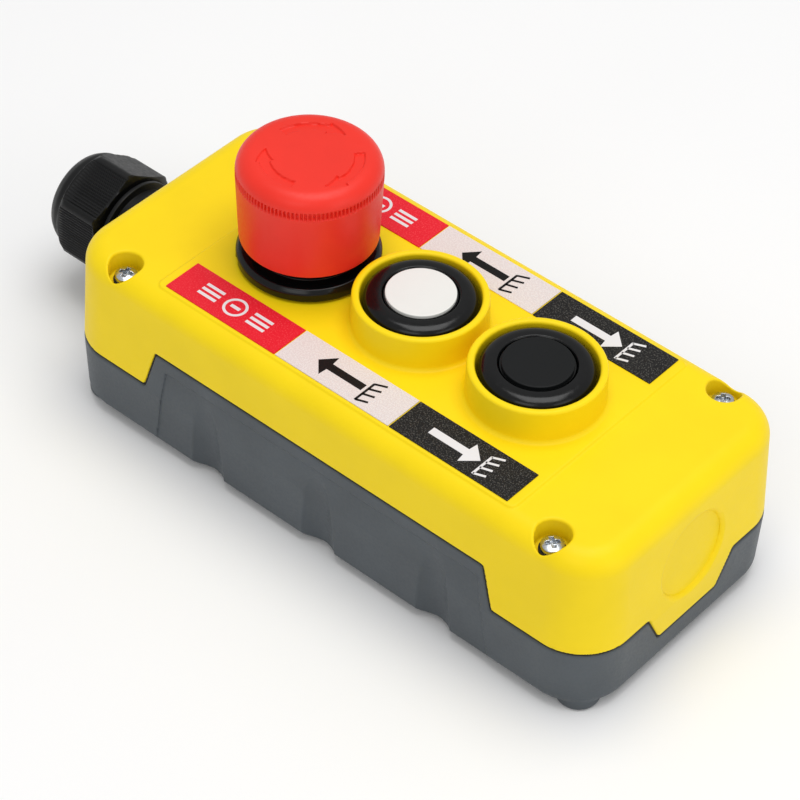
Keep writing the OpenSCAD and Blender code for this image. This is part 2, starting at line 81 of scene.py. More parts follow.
# Case form, as in the CAD
CORNER_R = 16.0
FRONT_R = 6.3
REAR_R = 3.6
WALL = 3.0
PAD_RISE = 0.5
FOOT_H = 1.8
SEAM_Z = 22.0
TONGUE_Z = 35.5
TAB_Z = 11.3
WIDEST_Z = SEAM_Z - 1.0
DRAFT = 0.052
REAR_TAPER = 0.6
SKIN = PANEL - PAD_RISE
SEAM_GAP = 0.6
SCREW_X = 75.0
SCREW_Y = 35.5
WELL_R = 4.8
WELL_FLOOR = PANEL - 6.9
PANEL_HOLE_R = 11.15
GLAND_Z = 26.5
LAND_R = 16.5
KNOCKOUT_Z = 33.0
KNOCKOUT_R = 13.3
GUARD_R = 18.5
GUARD_BORE_R = 16.35
GUARD_TOP = PANEL + 10.4
HEAD_SEAT = PANEL + 0.5
DISC_TOP = PANEL + 11.2
MUSHROOM_TOP = PANEL + 35.8
PAD_X, PAD_Y, PAD_CORNER_R = 62.5, 36.4, 2.0
TONGUE_X = 62
TONGUE_RUN, TONGUE_RISE, TONGUE_LENGTH = 4, 13.5, 14.08
TAB_Y = 12.5
TAB_RUN, TAB_RISE, TAB_LENGTH = 5.7, 10.7, 12.12
TAB_REACH = 5
BOSS_R = 6.1
BOSS_RISE = 5.5
PILLAR_R = 4.6
PILOT_R = 1.75
SHANK_HOLE_R = 2.2
FOOT_R = 6
FOOT_INSET = 9.5
GLAND_HOLE_R = 12.7
KNOCKOUT_DEPTH = 1.3
KNOCKOUT_LEAD = 0.9


# ---------------------------------------------------------------- implicit solids
def cut(a, b, r):
    """Both a and b, with their shared edge rounded to radius r."""
    u = np.maximum(a + r, 0)
    v = np.maximum(b + r, 0)
    return np.minimum(np.maximum(a, b), -r) + np.sqrt(u * u + v * v)


def join(a, b, r):
    """Either a or b, with a fillet of radius r between them."""
    return -cut(-a, -b, r)


def plan_distance(x, y):
    """Signed distance to the outline of the case at its widest."""
    qx = np.abs(x) - (HALF_X - CORNER_R)
    qy = np.abs(y) - (HALF_Y - CORNER_R)
    outside = np.hypot(np.maximum(qx, 0), np.maximum(qy, 0))
    return outside + np.minimum(np.maximum(qx, qy), 0) - CORNER_R


def side_inset(z):
    """How far the side walls lean in at a height, from the widest line up and down."""
    above = DRAFT * np.maximum(z - WIDEST_Z, 0)
    below = REAR_TAPER * np.clip((WIDEST_Z - z) / (WIDEST_Z - FOOT_H - REAR_R), 0, 1.2)
    return above + below


def block(x, y, z, inset, bottom, top, top_r, bottom_r):
    """The case's outline, moved in by an inset, between two levels with rounded edges."""
    side = plan_distance(x, y) + side_inset(z) + inset
    return cut(cut(side, z - top, top_r), bottom - z, bottom_r)


def land(x, y, z, r, near, far):
    """Upright round land on the gland's end wall, between two depths from that wall."""
    rho = np.hypot(y, z - GLAND_Z)
    return cut(cut(rho - r, x + HALF_X - far, 0.3), -HALF_X + near - x, 0.3)


def outer_solid(x, y, z):
    body = block(x, y, z, 0, FOOT_H, SKIN, FRONT_R, REAR_R)
    return join(body, land(x, y, z, LAND_R, 0, WALL + 1), 0.3)


def cavity(x, y, z):
    """The hollow that both halves share."""
    body = block(x, y, z, WALL, FOOT_H + 2.6, PANEL - WALL, 3.3, 1.0)
    return join(body, land(x, y, z, 18, WALL, 2 * WALL), 0.3)


def seam(x, y, z, gap):
    """Negative on the cover's side of the seam."""
    low = SEAM_Z + gap - z
    high = TONGUE_Z + gap - z
    foot_x = TONGUE_X + 0.74 * gap
    flank = (np.abs(x) - foot_x) * TONGUE_RISE + (z - SEAM_Z - gap) * TONGUE_RUN
    flank = -flank / TONGUE_LENGTH
    main = cut(low, join(high, flank, 0.7), 0.7)
    tab_flank = (np.abs(y) - TAB_Y + 0.62 * gap) * TAB_RISE - (z - TAB_Z - gap) * TAB_RUN
    tab_flank = tab_flank / TAB_LENGTH
    tab = cut(TAB_Z + gap - z, tab_flank, 0.8)
    tab = np.maximum(tab, HALF_X - TAB_REACH - np.abs(x))
    return join(main, tab, 0.8)


def corner_rho(x, y, half_x, half_y):
    """Distance to the nearest of four axes at the corners of a rectangle."""
    return np.hypot(np.abs(x) - half_x, np.abs(y) - half_y)


def cover_solid(x, y, z):
    body = block(x, y, z, 0, FOOT_H, SKIN, FRONT_R, REAR_R)
    lifted = block(x, y, z, 0, FOOT_H, SKIN + PAD_RISE, FRONT_R, REAR_R)
    pad_edge = cut(np.abs(x) - PAD_X, np.abs(y) - PAD_Y, PAD_CORNER_R)
    body = join(body, cut(lifted, pad_edge, 0.3), 0.45)
    for head in HEADS[1:]:
        rho = np.hypot(x - head, y)
        mid_r = (GUARD_R + GUARD_BORE_R) / 2
        half_t = (GUARD_R - GUARD_BORE_R) / 2
        lean = 0.012 * (GUARD_TOP - z)
        wall = np.abs(rho - mid_r) - half_t - lean
        ring = cut(wall, z - GUARD_TOP, 0.85)
        ring = np.maximum(ring, PANEL - 2 - z)
        body = join(body, ring, 1.3)
    body = join(body, land(x, y, z, LAND_R, 0, WALL + 1), 0.3)
    shell = cut(body, -cavity(x, y, z), 0.3)
    boss = cut(corner_rho(x, y, SCREW_X, SCREW_Y) - BOSS_R, SEAM_Z + SEAM_GAP - z, 0.2)
    boss = cut(boss, z - WELL_FLOOR - BOSS_RISE, 0.2)
    boss = np.maximum(boss, body + 0.5)
    shell = join(shell, boss, 0.3)
    shell = cut(shell, seam(x, y, z, SEAM_GAP), 0.35)
    well = cut(corner_rho(x, y, SCREW_X, SCREW_Y) - WELL_R, WELL_FLOOR - z, 0.5)
    shell = cut(shell, -well, 0.8)
    shell = np.maximum(shell, SHANK_HOLE_R - corner_rho(x, y, SCREW_X, SCREW_Y))
    for head in HEADS:
        shell = cut(shell, PANEL_HOLE_R - np.hypot(x - head, y), 0.2)
    gland_hole = np.maximum(np.hypot(y, z - GLAND_Z) - GLAND_HOLE_R, x + 70)
    shell = cut(shell, -gland_hole, 0.2)
    wall_x = HALF_X - DRAFT * (KNOCKOUT_Z - WIDEST_Z)
    depth = (x - wall_x) + DRAFT * (z - KNOCKOUT_Z)
    rim = np.hypot(y, z - KNOCKOUT_Z) - (
        KNOCKOUT_R - KNOCKOUT_LEAD * np.clip(-depth / KNOCKOUT_LEAD, 0, 1)
    )
    recess = cut(0.78 * rim, -KNOCKOUT_DEPTH - depth, 0.25)
    return cut(shell, -recess, 0.35)


FLUTE_R = 8.0
FLUTE_WALL = 2.4
FLUTE_MID, FLUTE_STEP, FLUTE_DEPTH = 1.5, 41, 3.7
FLUTE_XS = (FLUTE_MID - FLUTE_STEP, FLUTE_MID, FLUTE_MID + FLUTE_STEP)
FLUTE_Y = HALF_Y - REAR_TAPER - FLUTE_DEPTH + FLUTE_R
FLUTE_LEAN = math.tan(math.radians(6.5))
FLUTE_COS = 0.994
SIDE_PANEL_MID, SIDE_PANEL_HALF, SIDE_PANEL_TAPER = 1.4, 60.8, 0.164
SIDE_PANEL_DEPTH = 0.55


def rear_solid(x, y, z):
    body = outer_solid(x, y, z)
    side = plan_distance(x, y) + side_inset(z)
    # Shallow panel on each long side
    panel_x = np.abs(x - SIDE_PANEL_MID) - (SIDE_PANEL_HALF - SIDE_PANEL_TAPER * z)
    panel = cut(cut(-SIDE_PANEL_DEPTH - side, panel_x, 0.3), z - (TONGUE_Z - 4.3), 0.3)
    panel = np.maximum(panel, 25 - np.abs(y))
    body = cut(body, -panel, 0.25)
    hollow = cavity(x, y, z)
    for flute_x in FLUTE_XS:
        across = (np.abs(y) - FLUTE_Y - FLUTE_LEAN * z) * FLUTE_COS
        flute = FLUTE_R - np.hypot(x - flute_x, across)
        body = cut(body, flute, 0.2)
        hollow = cut(hollow, flute + FLUTE_WALL, 0.3)
    foot = corner_rho(x, y, HALF_X - FOOT_INSET, HALF_Y - FOOT_INSET) - FOOT_R
    foot = cut(cut(foot, -z, 0.9), z - FOOT_H - 3, 0.2)
    body = join(body, foot, 0.5)
    shell = cut(body, -hollow, 0.3)
    pillar = cut(corner_rho(x, y, SCREW_X, SCREW_Y) - PILLAR_R, z - SEAM_Z, 0.2)
    pillar = cut(pillar, FOOT_H + 1 - z, 0.2)
    pillar = np.maximum(pillar, body + 0.5)
    shell = join(shell, pillar, 0.3)
    shell = cut(shell, -seam(x, y, z, 0.0), 0.35)
    bore = np.maximum(corner_rho(x, y, SCREW_X, SCREW_Y) - PILOT_R, FOOT_H + 3.6 - z)
    return np.maximum(shell, -bore)


# ---------------------------------------------------------------- meshing
KEPT_SHARE = 0.22
CORNERS = [(i, j, k) for i in (0, 1) for j in (0, 1) for k in (0, 1)]


def gradient(field, p, e=0.02):
    f0 = field(p[:, 0], p[:, 1], p[:, 2])
    parts = []
    for axis in range(3):
        q = p.copy()
        q[:, axis] += e
        parts.append((field(q[:, 0], q[:, 1], q[:, 2]) - f0) / e)
    return f0, np.stack(parts, 1)


def settle(field, p, reach, rounds=4):
    """Moves points onto the surface of a field; returns them and their outward normals."""
    for _ in range(rounds):
        f, g = gradient(field, p)
        move = f / np.maximum((g * g).sum(1), 0.2)
        p = p - np.clip(move, -reach, reach)[:, None] * g
    _, g = gradient(field, p)
    length = np.maximum(np.linalg.norm(g, axis=1), 1e-9)
    return p, g / length[:, None]


def surface_net(field, xs, ys, zs):
    """Quad mesh of the zero surface of a field sampled on a grid."""
    f = field(
        xs[:, None, None].astype(np.float32),
        ys[None, :, None].astype(np.float32),
        zs[None, None, :].astype(np.float32),
    )
    f = np.broadcast_to(f, (len(xs), len(ys), len(zs)))
    s = f < 0
    shape = tuple(n - 1 for n in s.shape)
    count = np.zeros(shape, np.int8)
    for i, j, k in CORNERS:
        count += s[i : i + shape[0], j : j + shape[1], k : k + shape[2]]
    active = (count > 0) & (count < 8)
    cell = np.argwhere(active)
    index = np.full(shape, -1, np.int32)
    index[active] = np.arange(len(cell))
    values = [f[cell[:, 0] + i, cell[:, 1] + j, cell[:, 2] + k] for i, j, k in CORNERS]
    total = np.zeros((len(cell), 3))
    hits = np.zeros(len(cell))
    for a, ca in enumerate(CORNERS):
        for b, cb in enumerate(CORNERS):
            if b <= a or sum(abs(u - v) for u, v in zip(ca, cb)) != 1:
                continue
            crossing = (values[a] < 0) != (values[b] < 0)
            fa = values[a][crossing]
            t = fa / (fa - values[b][crossing])
            total[crossing] += np.array(ca) + t[:, None] * (np.array(cb) - np.array(ca))
            hits[crossing] += 1
    local = total / hits[:, None]
    axes = (xs, ys, zs)
    p = np.stack(
        [
            axes[n][cell[:, n]] + local[:, n] * (axes[n][cell[:, n] + 1] - axes[n][cell[:, n]])
            for n in range(3)
        ],
        1,
    )
    quads = []
    for axis in range(3):
        u, v = (axis + 1) % 3, (axis + 2) % 3
        first = [slice(1, -1)] * 3
        second = [slice(1, -1)] * 3
        first[axis] = slice(0, -1)
        second[axis] = slice(1, None)
        low_in = s[tuple(first)]
        edge = np.argwhere(low_in != s[tuple(second)])
        inside = low_in[tuple(edge.T)]
        edge[:, u] += 1
        edge[:, v] += 1
        ring = []
        for du, dv in ((-1, -1), (0, -1), (0, 0), (-1, 0)):
            c = edge.copy()
            c[:, u] += du
            c[:, v] += dv
            ring.append(index[tuple(c.T)])
        ring = np.stack(ring, 1)
        ring[~inside] = ring[~inside][:, ::-1]
        quads.append(ring)
    return p, np.concatenate(quads)


def new_object(name, verts_mm, faces, normals=None, sharp_deg=32):
    """A mesh object from millimetre points, smooth except at edges sharper than sharp_deg."""
    mesh = bpy.data.meshes.new(name)
    mesh.from_pydata((np.asarray(verts_mm) * MM).tolist(), [], [list(map(int, f)) for f in faces])
    mesh.validate()
    mesh.polygons.foreach_set("use_smooth", [True] * len(mesh.polygons))
    if normals is None:
        mesh.set_sharp_from_angle(angle=math.radians(sharp_deg))
    else:
        mesh.normals_split_custom_set_from_vertices(normals.tolist())
    mesh.update()
    obj = bpy.data.objects.new(name, mesh)
    bpy.context.scene.collection.objects.link(obj)
    return obj


def thinned(p, faces, ratio):
    """The same surface with fewer triangles where it is flat."""
    obj = new_object("thinning", p, faces)
    modifier = obj.modifiers.new("thin", "DECIMATE")
    modifier.ratio = ratio
    depsgraph = bpy.context.evaluated_depsgraph_get()
    mesh = bpy.data.meshes.new_from_object(obj.evaluated_get(depsgraph))
    points = np.zeros(len(mesh.vertices) * 3)
    mesh.vertices.foreach_get("co", points)
    kept = [tuple(f.vertices) for f in mesh.polygons]
    bpy.data.objects.remove(obj)
    bpy.data.meshes.remove(mesh)
    return points.reshape(-1, 3) / MM, kept


def case_half(name, field, xs, ys, zs):
    """Mesh of a case half whose field is measured from the middle of the case."""
    p, faces = surface_net(field, xs, ys, zs)
    reach = 0.5 * (xs[1] - xs[0])
    p, _ = settle(field, p, reach)
    p, faces = thinned(p, faces, KEPT_SHARE)
    p, n = settle(field, p, reach, 2)
    p[:, 0] += CASE_X
    return new_object(name, p, faces, n)


def grid(low, high, step):
    count = int(math.ceil((high - low) / step)) + 1
    return low + step * np.arange(count)


def softened(points, steps=4):
    """A profile of (radius, height, corner radius) points with its corners rounded."""
    out = []
    count = len(points)
    for i, (r, z, corner) in enumerate(points):
        here = np.array([r, z], float)
        if corner <= 0:
            out.append(here)
            continue
        before = np.array(points[i - 1][:2], float) - here
        after = np.array(points[(i + 1) % count][:2], float) - here
        reach = min(corner, 0.48 * np.linalg.norm(before), 0.48 * np.linalg.norm(after))
        a = here + before / np.linalg.norm(before) * reach
        b = here + after / np.linalg.norm(after) * reach
        for n in range(steps + 1):
            t = n / steps
            out.append((1 - t) ** 2 * a + 2 * t * (1 - t) * here + t * t * b)
    return np.array(out)


def lathe_mesh(profile, segments, warp=None, closed=True):
    """Points and faces of a profile turned about Z. A closed profile makes a ring;
    an open one starts and ends on the axis. The profile runs anticlockwise as seen
    with the radius to the right."""
    angles = np.linspace(0, 2 * np.pi, segments, endpoint=False)
    body = profile if closed else profile[1:-1]
    r = np.repeat(body[:, 0][:, None], segments, 1)
    z = np.repeat(body[:, 1][:, None], segments, 1)
    a = np.repeat(angles[None, :], len(body), 0)
    if warp is not None:
        r, z = warp(r, z, a)
    p = np.stack([r * np.cos(a), r * np.sin(a), z], -1).reshape(-1, 3)
    faces = []
    rings = len(body)
    around = np.arange(segments)
    after = (around + 1) % segments
    for i in range(rings if closed else rings - 1):
        j = (i + 1) % rings
        base, over = i * segments, j * segments
        faces += np.stack([base + around, base + after, over + after, over + around], 1).tolist()
    if not closed:
        first, last = len(p), len(p) + 1
        p = np.vstack([p, [0, 0, profile[0][1]], [0, 0, profile[-1][1]]])
        top = (rings - 1) * segments
        faces += [[first, n, m] for n, m in zip(after, around)]
        faces += [[last, top + n, top + m] for n, m in zip(around, after)]
    return p, faces


def lathe(name, profile, centre, segments=128, warp=None, closed=True, sharp_deg=32):
    p, faces = lathe_mesh(profile, segments, warp, closed)
    p[:, :2] += np.array(centre)
    return new_object(name, p, faces, sharp_deg=sharp_deg)


# ---------------------------------------------------------------- materials
def shader(name):
    material = bpy.data.materials.new(name)
    material.use_nodes = True
    tree = material.node_tree
    return material, tree, tree.nodes["Principled BSDF"]


def noise(tree, scale, detail=3.0):
    coords = tree.nodes.new("ShaderNodeTexCoord")
    node = tree.nodes.new("ShaderNodeTexNoise")
    node.inputs["Scale"].default_value = scale
    node.inputs["Detail"].default_value = detail
    tree.links.new(coords.outputs["Object"], node.inputs["Vector"])
    return node.outputs["Fac"]


def ramp(tree, factor, stops):
    node = tree.nodes.new("ShaderNodeValToRGB")
    elements = node.color_ramp.elements
    while len(elements) < len(stops):
        elements.new(0.5)
    for element, (position, colour) in zip(elements, stops):
        element.position = position
        element.color = (*colour, 1)
    tree.links.new(factor, node.inputs["Fac"])
    return node.outputs["Color"]


def spread(tree, factor, low, high, start=0.3, end=0.7):
    node = tree.nodes.new("ShaderNodeMapRange")
    node.inputs["From Min"].default_value = start
    node.inputs["From Max"].default_value = end
    node.inputs["To Min"].default_value = low
    node.inputs["To Max"].default_value = high
    tree.links.new(factor, node.inputs["Value"])
    return node.outputs["Result"]


def bump(tree, bsdf, height, strength, distance):
    node = tree.nodes.new("ShaderNodeBump")
    node.inputs["Strength"].default_value = strength
    node.inputs["Distance"].default_value = distance
    tree.links.new(height, node.inputs["Height"])
    tree.links.new(node.outputs["Normal"], bsdf.inputs["Normal"])


def linear(rgb_hex):
    """Linear colour of a display colour written as rrggbb."""
    out = []
    for i in (0, 2, 4):
        c = int(rgb_hex[i : i + 2], 16) / 255
        out.append(c / 12.92 if c <= 0.04045 else ((c + 0.055) / 1.055) ** 2.4)
    return out


GLOSS_SPREAD = 0.06


def moulded(name, colour, rough, grain=900.0, depth=0.00006, strength=0.25, mottle=0.05,
            blotch=60.0, metallic=0.0, specular=0.5):
    """Moulded plastic, rubber or metal: mottled colour, uneven gloss and a fine grain."""
    material, tree, bsdf = shader(name)
    base = np.array(linear(colour))
    dark = tuple(np.clip(base * (1 - mottle), 0, 1))
    light = tuple(np.clip(base * (1 + mottle), 0, 1))
    wide = noise(tree, blotch, 4.0)
    fine = noise(tree, grain)
    tree.links.new(ramp(tree, wide, [(0.35, dark), (0.65, light)]), bsdf.inputs["Base Color"])
    gloss = spread(tree, fine, rough - GLOSS_SPREAD, rough + GLOSS_SPREAD)
    tree.links.new(gloss, bsdf.inputs["Roughness"])
    bsdf.inputs["Metallic"].default_value = metallic
    bsdf.inputs["Specular IOR Level"].default_value = specular
    bump(tree, bsdf, fine, strength, depth)
    return material


def speckled(name, colour, fleck, amount, rough=0.55, specular=0.5):
    """Printed label film with fine flecks."""
    material, tree, bsdf = shader(name)
    fine = noise(tree, 2600.0, 2.0)
    base = linear(colour)
    other = linear(fleck)
    stops = [(0.5 - amount, other), (0.56 - amount, base), (1.0, base)]
    tree.links.new(ramp(tree, fine, stops), bsdf.inputs["Base Color"])
    wide = noise(tree, 120.0, 3.0)
    gloss = spread(tree, wide, rough - GLOSS_SPREAD, rough + GLOSS_SPREAD)
    tree.links.new(gloss, bsdf.inputs["Roughness"])
    bsdf.inputs["Specular IOR Level"].default_value = specular
    bump(tree, bsdf, fine, 0.15, 0.00003)
    return material


MATERIALS = {
    "yellow_plastic": moulded("yellow_plastic", "FBDB10", 0.46, 1500, 0.00005, 0.22, 0.02,
                              specular=0.2),
    "grey_plastic": moulded("grey_plastic", "4E5459", 0.50, 1300, 0.00007, 0.35, 0.07,
                            specular=0.35),
    "black_rubber": moulded("black_rubber", "141416", 0.75, 700, 0.00004, 0.3, 0.1),
    "zinc_steel": moulded("zinc_steel", "C9CDD2", 0.26, 900, 0.00004, 0.4, 0.12, 300, 1.0),
    "red_label": speckled("red_label", "E5162A", "EC4048", 0.12, 0.55, 0.25),
    "white_label": speckled("white_label", "DED2CF", "E8E0DD", 0.05, 0.55, 0.3),
    "black_label": speckled("black_label", "171616", "55534F", 0.12, 0.6, 0.2),
    "black_nylon": moulded("black_nylon", "0B0C0D", 0.42, 900, 0.00005, 0.3, 0.12, specular=0.3),
    "red_plastic": moulded("red_plastic", "EE3224", 0.40, 1200, 0.00004, 0.2, 0.03, specular=0.3),
    "white_plastic": moulded("white_plastic", "E9E9E4", 0.38, 900, 0.00003, 0.15, 0.015),
    "black_plastic": moulded("black_plastic", "090A0B", 0.20, 700, 0.00002, 0.12, 0.15,
                             specular=0.32),
    "natural_nylon": moulded("natural_nylon", "DDD8C8", 0.5, 800, 0.00003, 0.2, 0.03),
    "spring_steel": moulded("spring_steel", "BFC1C4", 0.28, 500, 0.00003, 0.3, 0.08, 200, 1.0),
    "cream_plastic": moulded("cream_plastic", "DCD8CA", 0.5, 900, 0.00004, 0.25, 0.04),
    "green_plastic": moulded("green_plastic", "3F9A52", 0.45, 900, 0.00004, 0.25, 0.05),
    "brass": moulded("brass", "D3AE55", 0.3, 700, 0.00003, 0.3, 0.1, 200, 1.0),
}
DISC_BLACK = moulded("disc_black", "0F1112", 0.45, 1500, 0.00003, 0.2, 0.06, specular=0.2)
WHITE_INK = moulded("white_ink", "E6E4E5", 0.5, 1500, 0.00001, 0.1, 0.015, specular=0.3)
BLACK_INK = moulded("black_ink", "151312", 0.5, 1500, 0.00001, 0.1, 0.06, specular=0.15)


def dress(obj, slot, body, *replaced, material=None):
    """Gives a piece its material and its body, and hides the CAD nodes that it stands for."""
    obj.data.materials.clear()
    obj.data.materials.append(material or MATERIALS[slot])
    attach(obj, body)
    if replaced:
        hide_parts(*replaced)


# Carried-over CAD nodes take the material of their slot
for part in frame["record"]["subparts"]:
    carried = nodes[part["node"]]
    carried.data.materials.clear()
    carried.data.materials.append(MATERIALS[part["material_slot"]])

# ---------------------------------------------------------------- case halves
STEP = 0.5
edge = 2 * STEP
case_xs = grid(-HALF_X - edge, HALF_X + edge, STEP)
case_ys = grid(-HALF_Y - edge, HALF_Y + edge, STEP)
side_zs = grid(TAB_Z - edge, PANEL - 4, STEP)
top_step = 0.7 * STEP
cover_zs = np.append(side_zs, grid(side_zs[-1] + top_step, GUARD_TOP + 1, top_step))
rear_zs = grid(-edge, TONGUE_Z + edge, STEP)
cover = case_half("cover_shell", cover_solid, case_xs, case_ys, cover_zs)
dress(cover, "yellow_plastic", "case", "front_cover")
rear = case_half("rear_shell", rear_solid, case_xs, case_ys, rear_zs)
dress(rear, "grey_plastic", "case", "rear_case")

# ---------------------------------------------------------------- cover screws
SCREW_SEAT = WELL_FLOOR + 0.8
SCREW_HEAD_R, SCREW_DOME_R, SCREW_DOME_DROP = 3.15, 6.45, 4.1
RECESS_HALF_W, RECESS_REACH, RECESS_FLOOR, RECESS_TAPER = 0.42, 1.75, 0.75, 0.14
SHANK_R, SHANK_LENGTH, SHANK_PITCH = 1.62, 34.0, 0.9


def screw_solid(x, y, z):
    rho = np.hypot(x, y)
    dome = np.sqrt(rho * rho + (z + SCREW_DOME_DROP) ** 2) - SCREW_DOME_R
    head = cut(cut(rho - SCREW_HEAD_R, dome, 0.25), -z, 0.15)
    taper = RECESS_TAPER * (z - 0.7)
    for u, v in ((x, y), (y, x)):
        slot_wall = cut(np.abs(v) - RECESS_HALF_W - taper, np.abs(u) - RECESS_REACH - taper, 0.15)
        head = cut(head, -cut(slot_wall, RECESS_FLOOR - z, 0.1), 0.12)
    shank = rho - SHANK_R - 0.1 * np.sin(2 * np.pi * z / SHANK_PITCH + np.arctan2(y, x))
    return join(head, cut(cut(shank, z - 0.4, 0.1), -SHANK_LENGTH - z, 0.3), 0.1)


screw_step = 0.16
screw_axis = grid(-3.4, 3.4, screw_step)
screw_zs = np.concatenate([grid(-34.3, -0.5, 0.35), grid(-0.4, 2.6, screw_step)])
screw_turns = ((-1, -1, 20), (1, -1, 52), (-1, 1, 75), (1, 1, 35))
screw_p, screw_faces = surface_net(screw_solid, screw_axis, screw_axis, screw_zs)
screw_p, screw_n = settle(screw_solid, screw_p, 0.08)
for number, (sx, sy, turn) in enumerate(screw_turns):
    spin = np.array(Matrix.Rotation(math.radians(turn), 3, "Z"))
    place = np.array([CASE_X + sx * SCREW_X, sy * SCREW_Y, SCREW_SEAT])
    screw = new_object(f"cover_screw_{number}", screw_p @ spin.T + place, screw_faces,
                       screw_n @ spin.T)
    dress(screw, "zinc_steel", "case", "cover_screws")

# ---------------------------------------------------------------- push buttons
BUTTON_SHELF = PANEL - 6
RING_TOP = DISC_TOP - 0.4
BARREL_R = 11.0
BARREL_FOOT = PANEL - 14
THREAD_LOW, THREAD_HIGH = PANEL - 13.4, PANEL - 3.2
RING_R = 15.4
RING_CROWN = 12.0
RING_FALL = 2.4
ring_round = [(RING_CROWN + (RING_R - RING_CROWN) * math.cos(t),
               RING_TOP - RING_FALL + RING_FALL * math.sin(t), 0)
              for t in np.radians(np.linspace(0, 90, 13))]
button_profile = softened([
    (4.3, BUTTON_SHELF - 2, 0), (8.5, BUTTON_SHELF - 2, 0.2), (8.5, BARREL_FOOT, 0.2),
    (BARREL_R, BARREL_FOOT, 0.4), (BARREL_R, HEAD_SEAT, 0.1), (RING_R, HEAD_SEAT, 0.2),
    *ring_round, (10.75, RING_TOP, 0.2), (10.3, RING_TOP - 0.5, 0.2), (10.3, PANEL + 2, 0.3),
    (8.5, PANEL + 2, 0.2), (8.5, BUTTON_SHELF, 0.2), (4.3, BUTTON_SHELF, 0),
], 6)


def barrel_thread(r, z, a):
    """Thread ridges on the part of the barrel under the panel."""
    on = (np.abs(r - BARREL_R) < 0.05) & (z < THREAD_HIGH) & (z > THREAD_LOW - 0.1)
    return np.where(on, r - 0.12 + 0.12 * np.cos(2 * np.pi * z / 1.2 - a), r), z


def threaded(profile, r, low, high):
    """Adds points along an upright stretch of a profile, so that a thread can be warped on."""
    out = []
    for i, here in enumerate(profile):
        out.append(here)
        after = profile[(i + 1) % len(profile)]
        if abs(here[0] - r) < 0.05 and abs(after[0] - r) < 0.05 and after[1] - here[1] > 5:
            out += [np.array([r, z]) for z in np.arange(low, high, 0.3)]
    return np.array(out)


disc_profile = softened([
    (0, DISC_TOP - 1, 0), (9.6, DISC_TOP - 1, 0), (9.6, DISC_TOP, 0.3),
    (8.9, DISC_TOP, 0.2), (0, DISC_TOP - 0.04, 0),
], 5)
for name, head_x, slot, material in (
    ("raise", RAISE_X, "white_plastic", None),
    ("lower", LOWER_X, "black_plastic", DISC_BLACK),
):
    profile = threaded(button_profile, BARREL_R, THREAD_LOW, THREAD_HIGH)
    ring = lathe(f"{name}_ring", profile, (head_x, 0), 128, barrel_thread)
    dress(ring, "black_plastic", "case", f"{name}_bezel")
    disc = lathe(f"{name}_disc", disc_profile, (head_x, 0), 128, closed=False)
    dress(disc, slot, f"{name}_button", f"{name}_cap", material=material)

# ---------------------------------------------------------------- emergency stop
BASE_R = 20.0
BASE_TOP = PANEL + 4.5
NECK_TOP = PANEL + 20
base_profile = softened([
    (4.05, PANEL - 10, 0), (8, PANEL - 10, 0.2), (8, BARREL_FOOT, 0.2),
    (BARREL_R, BARREL_FOOT, 0.4), (BARREL_R, HEAD_SEAT, 0.1), (19.5, HEAD_SEAT, 0.2),
    (BASE_R, HEAD_SEAT + 0.5, 0.2),
    (BASE_R, BASE_TOP - 1.2, 0.4), (19.0, BASE_TOP, 0.4), (15.2, BASE_TOP, 0.4),
    (15.2, NECK_TOP, 0.3), (12, NECK_TOP, 0.3), (12, BASE_TOP, 0.2), (7.7, BASE_TOP, 0.2),
    (7.7, PANEL - 7, 0.2), (4.05, PANEL - 7, 0),
], 6)
NOTCHES = (math.radians(-128), math.radians(52))


def base_notches(r, z, a):
    """Thread on the barrel, and two small release notches in the ring's lower edge."""
    r, z = barrel_thread(r, z, a)
    for notch in NOTCHES:
        off = np.abs((a - notch + np.pi) % (2 * np.pi) - np.pi) * BASE_R
        depth = np.clip((1.5 - off) / 0.25, 0, 1)
        low = np.clip((HEAD_SEAT + 2.2 - z) / 0.3, 0, 1)
        r = np.where((r > 18) & (z >= HEAD_SEAT - 0.01), r - 1.1 * depth * low, r)
    return r, z


profile = threaded(base_profile, BARREL_R, THREAD_LOW, THREAD_HIGH)
extra = [np.array([BASE_R, HEAD_SEAT + rise]) for rise in (1.9, 2.1, 2.3)]
at = max(i for i, q in enumerate(profile) if q[1] < HEAD_SEAT + 1.85 and q[0] > 19)
profile = np.vstack([profile[: at + 1], extra, profile[at + 1 :]])
base = lathe("estop_base", profile, (STOP_X, 0), 512, base_notches)
dress(base, "black_plastic", "case", "estop_bezel")

ROOF = MUSHROOM_TOP - 7
SKIRT = PANEL + 8.8
TOP_R = 5.0
RIB_LOW = PANEL + 29.2
RIB_HIGH = PANEL + 31.7
RIBS = 110
RIB_DEPTH = 0.75
SHOULDER_R = 19.98
ARROW_DEPTH = 0.6
ARROW_X, ARROW_Y = 1.0, -0.3
ARROW_MID, ARROW_HALF, BARB_HALF = 12.7, 1.4, 2.4
ARROW_BODY, ARROW_HEAD = 58.0, 25.0
ARROW_TAILS = (50, 170, 290)


def arrow_distance(x, y):
    """Distance to the nearest of three clockwise arrows on the head, negative inside one."""
    rho = np.hypot(x - ARROW_X, y - ARROW_Y)
    degrees = np.degrees(np.arctan2(y - ARROW_Y, x - ARROW_X))
    across = np.abs(rho - ARROW_MID)
    per_degree = ARROW_MID * math.pi / 180
    slope = BARB_HALF / (ARROW_HEAD * per_degree)
    nearest = np.full(x.shape, 9.0)
    for tail in ARROW_TAILS:
        along = (tail - degrees + 60) % 360 - 60
        past_neck = (along - ARROW_BODY) * per_degree
        band = np.maximum(across - ARROW_HALF, -along * per_degree)
        band = np.maximum(band, past_neck - 0.3)
        head = (across - BARB_HALF + slope * past_neck) / math.hypot(1, slope)
        head = np.maximum(head, -past_neck)
        nearest = np.minimum(nearest, np.minimum(band, head))
    return nearest


